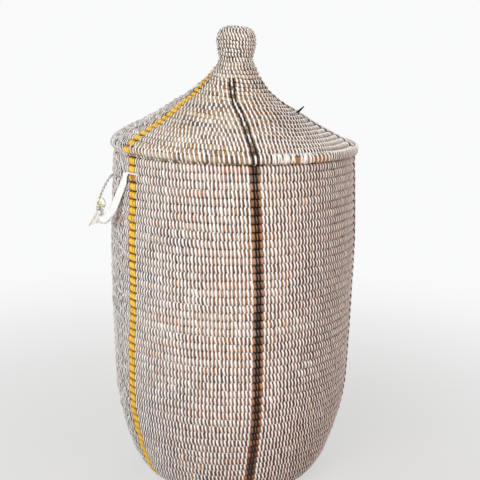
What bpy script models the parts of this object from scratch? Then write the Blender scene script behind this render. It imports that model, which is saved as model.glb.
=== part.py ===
"""Lidded hamper basket, coiled from grass bundles and stitched row to row with plastic strip.

Metres, +Z up, origin at the centre of the underside. The front, at -Y, is the side with the
black stripe; +X is to its right.
"""

import math

import bmesh
import bpy
from mathutils import Vector

# Basket
body_height = 0.551  # floor to the top of the rim row
belly_radius = 0.205  # widest part, over the ribs
foot_radius = 0.134  # flat wound underside
coil_pitch = 0.0125  # one coil row, crest to crest
coil_thickness = 0.012  # wall, outside to inside
rib_depth = 0.0024  # groove between two rows, below their crests
wall_outline_shares = (  # (height, radius) shares of body_height and belly_radius, rim to foot
    (1.000, 0.976),
    (0.863, 0.991),
    (0.727, 1.000),
    (0.590, 1.000),
    (0.453, 0.993),
    (0.317, 0.980),
    (0.226, 0.950),
    (0.149, 0.901),
    (0.095, 0.854),
    (0.054, 0.812),
    (0.028, 0.769),
    (0.000, 0.712),
)

# Lid
lid_overhang = 0.0034  # rim row of the lid past the rim row of the basket
lid_radius = wall_outline_shares[0][1] * belly_radius + lid_overhang
cone_height = 0.148  # rim seat to the knob's neck
neck_radius = 0.0265
neck_pitch = 0.0068  # rows start finer at the neck
lid_thickness = 0.0112
cone_outline_shares = (  # (height, radius) shares of cone_height and lid_radius, below the neck
    (0.919, 0.166),
    (0.757, 0.250),
    (0.612, 0.369),
    (0.503, 0.499),
    (0.375, 0.639),
    (0.268, 0.786),
    (0.184, 0.905),
    (0.084, 0.997),
    (0.000, 0.986),
)
lopside = 0.0065  # the cone's left side stands this much higher, its right side lower
lopside_ramp = 0.018  # height over which that starts, above the seat
lopside_fade_shares = (0.68, 0.92)  # shares of cone_height where it fades out
collar_drop = 0.0125  # how far the collar reaches down into the mouth
collar_clearance = 0.0015
collar_thickness = 0.009

# Knob
knob_height = 0.0535  # neck to top
knob_radius = 0.0323
knob_pitch = 0.0065
knob_rib_depth = 0.0014
knob_outline_shares = (  # (height, radius) shares of knob_height and knob_radius, top to neck
    (1.000, 0.00),
    (0.995, 0.34),
    (0.945, 0.66),
    (0.840, 0.87),
    (0.690, 0.98),
    (0.500, 1.00),
    (0.300, 0.96),
    (0.120, 0.88),
    (0.000, 0.81),
)

# Stripes of coloured stitches: azimuth in degrees from the front, + to the right
stripes = (
    ("front_black", 11.0, "black"),
    ("left_yellow", -52.0, "yellow"),
    ("right_black", 82.0, "black"),
    ("rear_black", 157.0, "black"),
    ("rear_yellow", 232.0, "yellow"),
)
stripe_widths = {"black": 0.009, "yellow": 0.016}
strip_thickness = 0.0008
stripe_drift = 22.0  # degrees that a lid stripe turns between its top row and the rim
lid_stripe_row_count = 6  # rows between the neck and the top of the lid stripes

# Loose end of black strip on the right-hand lid stripe
strip_end_length = 0.012
strip_end_width = 0.0034
strip_end_height_share = 0.53  # share of cone_height

# Side loop: one plastic strip through the wall, hanging as a U
loop_front_azimuth = -55.6
loop_rear_azimuth = -76.0
loop_front_row_count = 2  # rows above the place where the strip leaves the wall
loop_rear_row_count = 3
loop_depth = 0.080  # anchors to the lowest bend
loop_thickness = 0.0012
loop_strand_width = 0.0034  # where the strip is twisted
loop_band_width = 0.0125  # where it lies open
loop_face_azimuth = -15.0  # where the open band faces
loop_clearance = 0.0005
loop_line_shares = (  # shares of the anchors' chord, loop_depth out, loop_depth down, then of the
    # change from strand width to band width and of the turn from the wall to loop_face_azimuth
    (0.000, 0.000, 0.000, 0.00, 0.00),
    (0.000, 0.050, 0.040, 0.12, 0.00),
    (0.005, 0.066, 0.100, 0.40, 0.03),
    (0.035, 0.085, 0.210, 0.62, 0.10),
    (0.085, 0.120, 0.317, 0.80, 0.25),
    (0.180, 0.170, 0.492, 0.92, 0.55),
    (0.290, 0.232, 0.672, 1.00, 0.85),
    (0.400, 0.290, 0.811, 1.00, 1.00),
    (0.500, 0.350, 0.895, 0.95, 1.00),
    (0.585, 0.395, 0.880, 0.78, 0.90),
    (0.660, 0.418, 0.790, 0.45, 0.70),
    (0.740, 0.430, 0.690, 0.18, 0.40),
    (0.820, 0.406, 0.566, 0.00, 0.20),
    (0.870, 0.354, 0.467, 0.00, 0.10),
    (0.910, 0.302, 0.357, 0.00, 0.00),
    (0.945, 0.240, 0.248, 0.00, 0.00),
    (0.975, 0.166, 0.134, 0.00, 0.00),
    (0.990, 0.100, 0.052, 0.00, 0.00),
    (0.998, 0.050, 0.010, 0.00, 0.00),
    (1.000, 0.000, 0.000, 0.00, 0.00),
)
binding_share = 0.63  # how far down the table above the binding sits
binding_radius = 0.0040
binding_thickness = 0.0010
binding_height = 0.0062
tail_top_drop = 0.0045  # below the binding's middle
tail_edge_shares = (  # (chord, out, down) of loop_depth from its top, left edge then right edge
    ((0.000, 0.018, 0.000), (0.000, -0.018, 0.000)),
    ((0.004, 0.045, 0.110), (0.004, -0.038, 0.110)),
    ((0.012, 0.100, 0.230), (0.012, -0.058, 0.215)),
    ((0.030, 0.178, 0.410), (0.030, -0.082, 0.350)),
)
anchor_strip_width = 0.0026
anchor_strip_azimuth = -47.0

# Mesh fineness
wall_sides = 30
knob_sides = 18
span_steps = 8

seat_gap = 0.0003  # between two pieces that touch
merge_distance = 0.00002


def smooth(points, steps=span_steps):
    """Catmull-Rom curve through the points, as Vectors of the same size."""
    points = [Vector(p) for p in points]
    padded = [2 * points[0] - points[1]] + points + [2 * points[-1] - points[-2]]
    line = []
    for a, b, c, d in zip(padded, padded[1:], padded[2:], padded[3:]):
        for i in range(steps):
            t = i / steps
            line.append(
                0.5
                * (
                    2 * b
                    + (c - a) * t
                    + (2 * a - 5 * b + 4 * c - d) * t**2
                    + (3 * b - a - 3 * c + d) * t**3
                )
            )
    line.append(points[-1])
    return line


def length_of(line):
    return sum((b - a).length for a, b in zip(line, line[1:]))


def along(line, distance):
    """Point and unit direction at a distance along a line."""
    for a, b in zip(line, line[1:]):
        span = (b - a).length
        if distance <= span:
            return a + (b - a) * (distance / span), (b - a) / span
        distance -= span
    return b.copy(), (b - a) / span


def offset(line, distance, inward):
    """Point of a (radius, height) line moved inward from its outer side; the line runs down."""
    point, way = along(line, distance)
    return point - inward * Vector((-way.y, way.x))


def row_ends(line, first_pitch, last_pitch):
    """Distances along the line where the coil rows start and end."""
    total = length_of(line)
    rows = round(2 * total / (first_pitch + last_pitch))
    steps = [first_pitch + (last_pitch - first_pitch) * (i + 0.5) / rows for i in range(rows)]
    scale = total / sum(steps)
    ends = [0.0]
    for step in steps:
        ends.append(ends[-1] + step * scale)
    return ends


def ribs(line, ends, depth):
    """Groove and crest points of the rows between these distances, top to bottom."""
    points = []
    for a, b in zip(ends, ends[1:]):
        points.append(offset(line, a, depth))
        points.append(offset(line, (a + b) / 2, 0.0))
    points.append(offset(line, ends[-1], depth))
    return points


def wall_line():
    return smooth([(r * belly_radius, h * body_height) for h, r in wall_outline_shares])


def cone_line():
    below = [(r * lid_radius, h * cone_height) for h, r in cone_outline_shares]
    return smooth([(neck_radius, cone_height)] + below)


def material(name, colour, roughness):
    made = bpy.data.materials.new(name)
    made.use_nodes = True
    shader = made.node_tree.nodes["Principled BSDF"]
    shader.inputs["Base Color"].default_value = (*colour, 1)
    shader.inputs["Roughness"].default_value = roughness
    shader.inputs["Metallic"].default_value = 0.0
    return made


def placed(name, mesh, finish):
    piece = bpy.data.objects.new(name, mesh)
    mesh.materials.append(finish)
    parts.objects.link(piece)
    return piece


def turned(name, outline, finish, sides=wall_sides, closed=True):
    """Solid of revolution from a (radius, height) outline that runs down its outer side."""
    mesh = bpy.data.meshes.new(name)
    edges = [(i, i + 1) for i in range(len(outline) - 1)]
    if closed:
        edges.append((len(outline) - 1, 0))
    mesh.from_pydata([(r, 0, z) for r, z in outline], edges, [])
    piece = placed(name, mesh, finish)
    screw = piece.modifiers.new("turn", "SCREW")
    screw.axis = "Z"
    screw.angle = 2 * math.pi
    screw.steps = screw.render_steps = sides
    screw.use_merge_vertices = True
    screw.merge_threshold = merge_distance
    screw.use_smooth_shade = True
    return piece


def meshed(piece):
    """The piece with its modifiers applied."""
    evaluated = piece.evaluated_get(bpy.context.evaluated_depsgraph_get())
    mesh = bpy.data.meshes.new_from_object(evaluated)
    piece.modifiers.clear()
    piece.data = mesh
    return piece


def lopsided(point):
    """Place of a lid point after the hand-made cone has been pushed over to one side."""
    height = point.z - lid_seat
    if height <= 0:
        return point
    start, end = (share * cone_height for share in lopside_fade_shares)
    rise = min(1.0, height / lopside_ramp)
    fade = min(1.0, max(0.0, (end - height) / (end - start)))
    reach = math.hypot(point.x, point.y)
    return Vector((point.x, point.y, point.z - lopside * rise * fade * point.x / reach))


def settle(piece):
    """Moves a lid piece's points to their lopsided places."""
    meshed(piece)
    for vertex in piece.data.vertices:
        vertex.co = lopsided(vertex.co)
    return piece


def ribbon(name, rails, thickness, finish):
    """Strip of even thickness; rails are rows of points across it, its outer face first."""
    mesh = bpy.data.meshes.new(name)
    made = bmesh.new()
    rows = [[made.verts.new(p) for p in rail] for rail in rails]
    for upper, lower in zip(rows, rows[1:]):
        for i in range(len(upper) - 1):
            made.faces.new((upper[i], lower[i], lower[i + 1], upper[i + 1]))
    made.normal_update()
    made.to_mesh(mesh)
    made.free()
    piece = placed(name, mesh, finish)
    solid = piece.modifiers.new("thickness", "SOLIDIFY")
    solid.thickness = thickness
    solid.offset = 1.0
    solid.use_even_offset = False
    return piece


def around(radius, height, azimuth):
    """World point at an azimuth in degrees from the front, + to the right."""
    turn = math.radians(azimuth)
    return Vector((radius * math.sin(turn), -radius * math.cos(turn), height))


def flat_reach(radius, azimuth):
    """Radius of the wall's flat-sided surface at an azimuth."""
    side = 360 / wall_sides
    away = (azimuth + 90) % side - side / 2
    return radius * math.cos(math.radians(side / 2)) / math.cos(math.radians(away))


# Pieces of the basket


def make_basket():
    line = wall_line()
    ends = row_ends(line, coil_pitch, coil_pitch)
    inner_depth = coil_thickness - rib_depth
    rim_bottom = line_height(line, ends[1])

    # The rim row: a flat-topped ring that the lid rests on
    rim = ribs(line, ends[:2], rib_depth)
    rim_inside = [
        Vector((p.x - inner_depth + dip, p.y))
        for p, dip in zip(reversed(rim), (0.0, -rib_depth / 2, 0.0))
    ]
    rim_outline = [*rim, *rim_inside]
    for point in (rim_outline[2], rim_outline[3]):
        point.y = rim_bottom + seat_gap
    turned("rim_coil", rim_outline, woven)

    # The wall below it, down to a narrow flat ring on the floor
    outside = ribs(line, ends[1:], rib_depth)
    outside[0].y = rim_bottom
    outside[-1] = Vector((line[-1].x, 0.0))
    inside = [
        offset(line, ends[row], coil_thickness - rib_depth / 2)
        for row in range(len(ends) - 3, 2, -4)
    ]
    floor_edge = foot_radius + seat_gap
    top_inner = Vector((outside[0].x - inner_depth, rim_bottom))
    foot = [Vector((floor_edge, 0.0)), Vector((floor_edge, coil_thickness))]
    turned("wall_coil", [*outside, *foot, *inside, top_inner], woven)

    # The flat wound base inside that ring
    turned(
        "base_coil",
        [(0, coil_thickness), (foot_radius, coil_thickness), (foot_radius, 0), (0, 0)],
        woven,
        closed=False,
    )
    for name, azimuth, colour in stripes:
        wall_stripe(name, azimuth, stripe_widths[colour], finishes[colour], line, ends)


def line_height(line, distance):
    return along(line, distance)[0].y


def wall_stripe(name, azimuth, width, finish, line, ends):
    """Line of coloured stitches down the wall, lying on its ribs."""
    side = 360 / wall_sides
    half = math.degrees(width / 2 / belly_radius)
    corner = round((azimuth + 90) / side) * side - 90
    columns = [azimuth - half, azimuth + half]
    if columns[0] < corner < columns[1]:
        columns.insert(1, corner)
    rails = []
    for point in ribs(line, ends[1:-1], rib_depth):
        reach = [flat_reach(point.x, a) + seat_gap for a in columns]
        rails.append([around(r, point.y, a) for r, a in zip(reach, columns)])
    ribbon(f"wall_stripe_{name}", rails, strip_thickness, finish)


# Pieces of the lid


def make_lid():
    line = [p + Vector((0, lid_seat)) for p in cone_line()]
    ends = row_ends(line, neck_pitch, coil_pitch)
    rows = len(ends) - 1
    cut = ends[-2]
    half_gap = seat_gap / 2

    outside = ribs(line, [*ends[:-2], cut - half_gap], rib_depth)
    outside[0] = offset(line, 0.0, 0.0)
    inside = [offset(line, cut - half_gap, lid_thickness)]
    inside += [offset(line, ends[row], lid_thickness) for row in range(rows - 3, 2, -2)]
    hole = Vector((neck_radius - lid_thickness, line[0].y))
    settle(turned("lid_crown_coil", [*outside, *inside, hole], woven))

    # The rim row, flat where it rests on the basket's rim
    rim = ribs(line, [cut + half_gap, ends[-1]], rib_depth)
    rim[-1] = line[-1].copy()
    inner_edge = Vector((line[-1].x - lid_thickness, line[-1].y))
    rim += [inner_edge, offset(line, cut + half_gap, lid_thickness)]
    settle(turned("lid_rim_coil", rim, woven))

    # The collar under the lid, two thin rows that keep it centred in the mouth
    reach = wall_outline_shares[0][1] * belly_radius - coil_thickness - collar_clearance
    top = min(p.y for p in inner_surface(line, ends) if p.x <= reach) - seat_gap
    bottom = lid_seat - collar_drop
    middle = (top + bottom) / 2
    ring = [
        (reach - rib_depth, top),
        (reach, (top + middle) / 2),
        (reach - rib_depth, middle),
        (reach, (middle + bottom) / 2),
        (reach - rib_depth, bottom),
        (reach - collar_thickness, bottom),
        (reach - collar_thickness, middle),
        (reach - collar_thickness, top),
    ]
    settle(turned("lid_collar_coil", ring, woven))

    for name, azimuth, colour in stripes:
        lid_stripe(name, azimuth, stripe_widths[colour], finishes[colour], line, ends)
    loose_end(line, ends)
    make_knob()


def inner_surface(line, ends):
    """Points of the lid's underside from its rim row up."""
    steps = 4 * span_steps
    first = ends[-2] - 3 * coil_pitch
    return [
        offset(line, first + (ends[-2] - first) * i / steps, lid_thickness)
        for i in range(steps + 1)
    ]


def lid_stripe(name, azimuth, width, finish, line, ends):
    """Line of coloured stitches from below the neck to the rim, drifting round as it goes down."""
    first, last = ends[lid_stripe_row_count], ends[-1]
    rails = []
    distances = []
    for a, b in zip(ends[lid_stripe_row_count:], ends[lid_stripe_row_count + 1 :]):
        distances += [(a, rib_depth), ((a + b) / 2, 0.0)]
    lift = seat_gap + width / 4 * math.tan(math.pi / wall_sides)
    for distance, depth in distances:
        point = offset(line, distance, depth - lift)
        turn = azimuth - stripe_drift * (last - distance) / (last - first)
        half = math.degrees(width / 2 / point.x)
        columns = [turn - half, turn, turn + half]
        rails.append([around(flat_reach(point.x, a), point.y, a) for a in columns])
    settle(ribbon(f"lid_stripe_{name}", rails, strip_thickness, finish))


def loose_end(line, ends):
    """Short loose end of strip that sticks up from the right-hand stripe."""
    name, azimuth, colour = stripes[2]
    height = lid_seat + strip_end_height_share * cone_height
    below = [d for d in ends if line_height(line, d) < height]
    distance = (below[0] + below[1]) / 2
    share = (ends[-1] - distance) / (ends[-1] - ends[lid_stripe_row_count])
    turn = azimuth - stripe_drift * share
    start = offset(line, distance, -strip_thickness - 2 * seat_gap)
    half = math.degrees(strip_end_width / 2 / start.x)
    rails = []
    for out, up in ((0.0, 0.0), (0.35, 0.15), (0.72, 0.42), (0.95, 0.72)):
        shift = strip_end_length * Vector((out, up))
        point = start + shift
        rails.append([around(point.x, point.y, turn + side * half) for side in (1, -1)])
    settle(ribbon("loose_strip_end", rails, strip_thickness, finishes[colour]))


def make_knob():
    base = lid_seat + cone_height + seat_gap
    line = smooth([(r * knob_radius, base + h * knob_height) for h, r in knob_outline_shares])
    ends = row_ends(line, knob_pitch, knob_pitch)
    outline = ribs(line, ends, knob_rib_depth)
    outline[0] = Vector((0.0, base + knob_height))
    outline[-1] = line[-1].copy()
    outline.append(Vector((0.0, base)))
    turned("knob_coil", outline, woven, sides=knob_sides, closed=False)


# Side loop


def groove_point(line, ends, row, azimuth):
    """Middle of the strip where it comes out between two rows."""
    point = offset(line, ends[row], rib_depth)
    reach = flat_reach(point.x, azimuth) + loop_clearance + loop_thickness / 2
    return around(reach, point.y, azimuth)


def loop_frame():
    """Front anchor, the chord to the rear anchor, and the outward direction."""
    line = wall_line()
    ends = row_ends(line, coil_pitch, coil_pitch)
    front = groove_point(line, ends, loop_front_row_count, loop_front_azimuth)
    rear = groove_point(line, ends, loop_rear_row_count, loop_rear_azimuth)
    out = around(1, 0, (loop_front_azimuth + loop_rear_azimuth) / 2)
    return front, rear - front, out


def strip_along(name, stations, thickness, finish):
    """Strip through stations of (x, y, z, width, facing direction), on a smooth line."""
    curve = smooth([Vector(s) for s in stations], steps=3)
    rails = []
    for before, here, after in zip([curve[0]] + curve, curve, curve[1:] + [curve[-1]]):
        way = (Vector(after[:3]) - Vector(before[:3])).normalized()
        middle = Vector(here[:3])
        side = way.cross(Vector(here[4:])).normalized() * (here[3] / 2)
        rails.append([middle - side, middle + side])
    piece = ribbon(name, rails, thickness, finish)
    piece.modifiers["thickness"].offset = 0.0
    return piece


def make_loop():
    front, chord, out = loop_frame()
    down = Vector((0, 0, -1))
    facing = around(1, 0, loop_face_azimuth)
    extra = loop_band_width - loop_strand_width
    stations = []
    for s, o, d, wide, twist in loop_line_shares:
        place = front + chord * s + loop_depth * (out * o + down * d)
        stations.append((*place, loop_strand_width + extra * wide, *out.lerp(facing, twist)))
    strip_along("side_loop", stations, loop_thickness, finishes["white"])

    # Yellow strip wound round the twisted strand
    place = round(binding_share * (len(stations) - 1))
    before, centre, after = (Vector(stations[place + i][:3]) for i in (-1, 0, 1))
    outline = [
        (binding_radius, binding_height / 2),
        (binding_radius, -binding_height / 2),
        (binding_radius - binding_thickness, -binding_height / 2),
        (binding_radius - binding_thickness, binding_height / 2),
    ]
    binding = meshed(turned("loop_binding", outline, finishes["yellow"], sides=12))
    turn = (after - before).to_track_quat("Z", "X").to_matrix().to_4x4()
    turn.translation = centre
    binding.data.transform(turn)

    # Flared end of the strip, hanging just below the binding, beside the strand
    beside = loop_strand_width / 2 + loop_thickness / 2 + seat_gap
    top = centre + chord.normalized() * beside + down * tail_top_drop
    rails = []
    for edges in tail_edge_shares:
        shifts = [chord.normalized() * s + out * o + down * d for s, o, d in edges]
        rails.append([top + loop_depth * shift for shift in shifts])
    ribbon("loop_tail", rails, loop_thickness / 2, finishes["white"])


def make_anchor_strip():
    """The loop's strip where it crosses the yellow stripe, held flat in its groove."""
    line = wall_line()
    ends = row_ends(line, coil_pitch, coil_pitch)
    slope = rib_depth * anchor_strip_width / coil_pitch
    lift = strip_thickness + 2 * seat_gap + slope
    steps = 4
    rails = []
    for i in range(steps + 1):
        azimuth = anchor_strip_azimuth + (loop_front_azimuth - anchor_strip_azimuth) * i / steps
        azimuth += 0.8 * i / steps
        point = offset(line, ends[loop_front_row_count], rib_depth - lift)
        half = Vector((0, 0, anchor_strip_width / 2))
        middle = around(point.x, point.y, azimuth)
        rails.append([middle + half, middle - half])
    ribbon("loop_anchor_strip", rails, strip_thickness, finishes["white"])


for old in list(bpy.data.objects):
    bpy.data.objects.remove(old, do_unlink=True)
parts = bpy.data.collections.new("hamper_basket")
bpy.context.scene.collection.children.link(parts)

woven = material("coiled_grass_white_stitch", (0.80, 0.74, 0.66), 0.6)
finishes = {
    "white": material("white_plastic_strip", (0.90, 0.90, 0.88), 0.35),
    "yellow": material("yellow_plastic_strip", (0.75, 0.48, 0.06), 0.35),
    "black": material("black_plastic_strip", (0.02, 0.018, 0.018), 0.35),
}
lid_seat = body_height + seat_gap

make_basket()
make_lid()
make_loop()
make_anchor_strip()
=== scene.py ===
import math
import random

import bmesh
import bpy
import numpy as np
from mathutils import Matrix, Vector


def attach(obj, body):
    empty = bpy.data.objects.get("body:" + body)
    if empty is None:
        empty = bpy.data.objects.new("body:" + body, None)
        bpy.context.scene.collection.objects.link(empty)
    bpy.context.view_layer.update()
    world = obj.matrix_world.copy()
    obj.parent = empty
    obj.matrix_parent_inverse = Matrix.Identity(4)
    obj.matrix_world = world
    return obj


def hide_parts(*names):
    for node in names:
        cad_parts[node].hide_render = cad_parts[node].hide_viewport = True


# A lidded hamper basket: grass bundle wound in a coil, stitched row to row with plastic strip.
# Metres, +Z up, front at -Y. Azimuths are degrees from the front, + to the right.

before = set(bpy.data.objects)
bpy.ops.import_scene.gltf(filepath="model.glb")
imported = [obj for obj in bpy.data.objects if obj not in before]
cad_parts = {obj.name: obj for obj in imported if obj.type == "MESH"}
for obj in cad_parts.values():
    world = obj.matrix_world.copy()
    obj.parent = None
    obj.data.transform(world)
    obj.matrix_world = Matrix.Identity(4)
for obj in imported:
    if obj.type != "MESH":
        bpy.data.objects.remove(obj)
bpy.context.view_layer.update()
print("stage: frame loaded")

seatHeight = 0.551  # top of the basket's rim row

basketForm = {
    "height": seatHeight, "radius": 0.205, "rowPitch": 0.0125,
    "outline": (  # (height, radius) shares, rim to foot
        (1.000, 0.976), (0.863, 0.991), (0.727, 1.000), (0.590, 1.000), (0.453, 0.993), (0.317, 0.980),
        (0.226, 0.950), (0.149, 0.901), (0.095, 0.854), (0.054, 0.812), (0.028, 0.769), (0.000, 0.712),
    ),
}
lidForm = {
    "height": 0.148, "radius": 0.20348, "neckRadius": 0.0265, "neckPitch": 0.0068, "rimPitch": 0.0125,
    "seatGap": 0.0027,  # bare band under the lid's last row
    "lopside": 0.0065, "lopsideRamp": 0.018, "lopsideFade": (0.68, 0.92),
    "fullNeck": (0.22, 0.006),  # fuller rows close the hollow of the neck: share, reach
    "lowerRows": (0.0011, 0.09, 0.06),  # these stand out: depth, from, over
    "outline": (  # (height, radius) shares, below the neck
        (0.919, 0.166), (0.757, 0.250), (0.612, 0.369), (0.503, 0.499), (0.375, 0.639), (0.268, 0.786),
        (0.184, 0.905), (0.084, 0.997), (0.000, 0.986),
    ),
}
knobForm = {
    "height": 0.0535, "radius": 0.0323, "rowPitch": 0.0065,
    "outline": (  # (height, radius) shares, top to neck
        (1.000, 0.00), (0.995, 0.34), (0.945, 0.66), (0.840, 0.87), (0.690, 0.98), (0.500, 1.00),
        (0.300, 0.96), (0.120, 0.88), (0.000, 0.81),
    ),
}
bundleForm = {
    "depthShare": 0.84,  # thickness through the wall over the row pitch
    "lidDepthShare": 0.98,
    "overlap": 1.02,  # rows press into each other this much
    "squareness": 2.0, "sides": 12,
    "stepZone": (120.0, 240.0),  # where a row passes into the next
    "step": 0.0085,
}
stepStart = bundleForm["stepZone"][0]
flatShare = 1 - (bundleForm["stepZone"][1] - stepStart) / 360
strandForm = {
    "thickness": 0.0009, "white": 0.0034, "black": 0.0033, "yellow": 0.0059,
    "slant": 0.0019,  # how far a stitch's foot lies to the right of its head
    "yellowSlant": 0.0030,
    "leftShade": 0.3,  # painted shade on a strip's left edge over that on its right edge, as the light comes from the left
    "leanSpread": 0.085, "shadeFade": 5.5, "widthSpread": 0.15,
}
unevenForm = {  # hand-made waviness of the rows: (waves round, size, drift per row)
    "waves": ((2, 0.0005, 0.31), (3, 0.0005, -0.23), (5, 0.0004, 0.41), (9, 0.0003, -0.57)),
    "bulge": ((2, 0.0007, 0.13), (5, 0.0004, 0.29), (11, 0.00025, 0.6)),
}


def smoothLine(points, steps=10):
    points = [np.array(p, float) for p in points]
    padded = [2 * points[0] - points[1]] + points + [2 * points[-1] - points[-2]]
    line = []
    for a, b, c, d in zip(padded, padded[1:], padded[2:], padded[3:]):
        for t in (i / steps for i in range(steps)):
            bend, twist = 2 * a - 5 * b + 4 * c - d, 3 * b - a - 3 * c + d
            line.append(0.5 * (2 * b + (c - a) * t + bend * t**2 + twist * t**3))
    return np.array(line + [points[-1]])


def smoothStep(x):
    x = min(1.0, max(0.0, x))
    return x * x * (3 - 2 * x)


def lineLength(line):
    return float(np.hypot(*np.diff(line, axis=0).T).sum())


class Profile:
    # (radius, height) line down the outside of a piece, read by distance along it

    def __init__(self, line, base, corner=0):
        self.length = lineLength(line)
        marks = np.concatenate([[0], np.cumsum(np.hypot(*np.diff(line, axis=0).T))])
        self.marks = np.arange(0, self.length, 0.001)
        r, z = (np.interp(self.marks, marks, line[:, axis]) for axis in (0, 1))
        for _ in range(corner):  # rounds a corner
            for v in (r, z):
                v[1:-1] = (v[:-2] + 2 * v[1:-1] + v[2:]) / 4
        dr, dz = np.gradient(r), np.gradient(z)
        size = np.hypot(dr, dz)
        self.columns = (r, z + base, dr / size, dz / size)

    def at(self, distance):
        return [float(np.interp(distance, self.marks, v)) for v in self.columns]


class Winding:
    # rows of coil on a profile: maps a row and an azimuth to a place on the surface

    def __init__(self, profile, ends, turn, depthShare, startRing=True, endRing=False, uneven=1.0):
        self.profile, self.ends, self.turn, self.depthShare = profile, np.array(ends), turn, depthShare
        self.startRing, self.endRing, self.uneven = startRing, endRing, uneven
        self.rows = len(ends) - 1
        self.lopsided, self.sink, self.sinkFrom = False, 0.0, 0.0

    def wave(self, waves, azimuth, row):
        # smooth unevenness that neighbouring rows share, still at the piece's first and last rows
        fade = smoothStep(row / 4) * smoothStep((self.rows - row) / 3) * self.uneven
        a = math.radians(azimuth)
        sines = (size * math.sin(count * a + 2.1 * count + drift * row) for count, size, drift in waves)
        return fade * sum(sines)

    def rowAt(self, q):
        # coil position in rows (0.5 is the middle of the first) after q turns
        k = math.floor(q)
        stepped = k + 0.5 + smoothStep((q - k - flatShare) / (1 - flatShare))
        even = q + 0.5 - flatShare / 2
        weight = smoothStep((q - 1) / 4) if self.startRing else 1.0
        if self.endRing:
            weight *= smoothStep((self.rows - 1 - q) / 4)
        return stepped * (1 - weight) + even * weight

    def turnsAt(self, row, azimuth):
        # turns made where the coil's row passes an azimuth; azimuth in (-180, 180]
        return row + (stepStart - self.turn * azimuth) / 360

    def azimuthAt(self, q):
        return self.turn * (stepStart - 360 * q)

    def markAt(self, row):
        return float(np.interp(row, range(self.rows + 1), self.ends))

    def place(self, q):
        # middle of the coil's outer face after q turns, with its directions and the row's size
        row, share, last = self.rowAt(q), 1.0, self.rows - 1 + flatShare
        if q < 0 and self.startRing:
            share = 1 - smoothStep(-q / (1 - flatShare))
            row = 0.5 * share
        if self.endRing and q > last:
            share = 1 - smoothStep((q - last) / (1 - flatShare))
            row = self.rows - 0.5 * share
        azimuth = self.azimuthAt(q)
        low, middle, high = (self.markAt(row + step) for step in (-0.5, 0.0, 0.5))
        pitch, depth = (high - low) * share, 0.0
        if self.lopsided:
            fuller, reach = lidForm["fullNeck"]
            pitch *= 1 + fuller * math.exp(-(((middle - knobLength) / reach) ** 2))
            proud, start, over = lidForm["lowerRows"]
            depth -= proud * smoothStep((middle - knobLength - start) / over)
        r, z, dr, dz = self.profile.at(middle + self.wave(unevenForm["waves"], azimuth, row))
        a = math.radians(azimuth)
        s, c = math.sin(a), math.cos(a)
        point = Vector((r * s, -r * c, z))
        if self.lopsided:
            point = pushOver(point)
        out, down = Vector((-dz * s, dz * c, dr)), Vector((dr * s, -dr * c, dz))
        full = (high - low) * self.depthShare
        depth -= self.wave(unevenForm["bulge"], azimuth, row)
        depth += self.sink * smoothStep(row - self.sinkFrom)
        point = point - out * (strandForm["thickness"] + full * 0.5 - (1 - share) * full * 0.45 + depth)
        return point, out, down, Vector((c, s, 0)), pitch, r


def pushOver(point):
    # the hand-made cone leans over to one side
    height = point.z - seatHeight
    if height <= 0:
        return point
    start, end = (share * lidForm["height"] for share in lidForm["lopsideFade"])
    rise = min(1.0, height / lidForm["lopsideRamp"])
    fade = min(1.0, max(0.0, (end - height) / (end - start)))
    reach = max(1e-6, math.hypot(point.x, point.y))
    return point - Vector((0, 0, lidForm["lopside"] * rise * fade * point.x / reach))


def rowEnds(length, first, last=None, above=(0.0,)):
    # where each row ends along a line, added to the rows above it
    last = last or first
    rows = round(2 * length / (first + last))
    steps = [first + (last - first) * (i + 0.5) / rows for i in range(rows)]
    scale = length / sum(steps)
    return list(above) + [above[-1] + scale * v for v in np.cumsum(steps)]


def formLine(form, *first):
    return smoothLine([*first] + [(r * form["radius"], h * form["height"]) for h, r in form["outline"]])


wallLine = formLine(basketForm)
footRadius = float(wallLine[-1][0])
inward = np.array([(footRadius * (1 - i / 40), 0.0) for i in range(1, 41)])
wallEnds = rowEnds(lineLength(wallLine), basketForm["rowPitch"])
wallRows = len(wallEnds) - 1
basketWinding = Winding(
    Profile(np.vstack([wallLine, inward]), 0.0, corner=30),
    rowEnds(footRadius, basketForm["rowPitch"], above=wallEnds), 1, bundleForm["depthShare"]
)
basketWinding.sink, basketWinding.sinkFrom = 0.0016, wallRows - 0.8  # keeps the stitches off the floor
coneLine = formLine(lidForm, (lidForm["neckRadius"], lidForm["height"]))
knobLine = formLine(knobForm) + np.array((0.0, lidForm["height"]))
knobLength = lineLength(knobLine)
lidProfile = Profile(np.vstack([knobLine[:-1], coneLine]), seatHeight, corner=6)
neckReach = knobLength + 0.5 * lidForm["neckPitch"]  # one row lies in the hollow of the neck
knobEnds = rowEnds(neckReach, knobForm["rowPitch"])
knobRows = len(knobEnds) - 1
coneReach = lidProfile.length - neckReach - lidForm["seatGap"]
lidEnds = rowEnds(coneReach, lidForm["neckPitch"], lidForm["rimPitch"], knobEnds)
lidWinding = Winding(lidProfile, lidEnds, -1, bundleForm["lidDepthShare"], startRing=False, endRing=True)
lidWinding.lopsided = True
print("stage: rows", wallRows, basketWinding.rows, knobRows, lidWinding.rows)

black, white = (0, 0, 0), (1, 1, 1)


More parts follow.
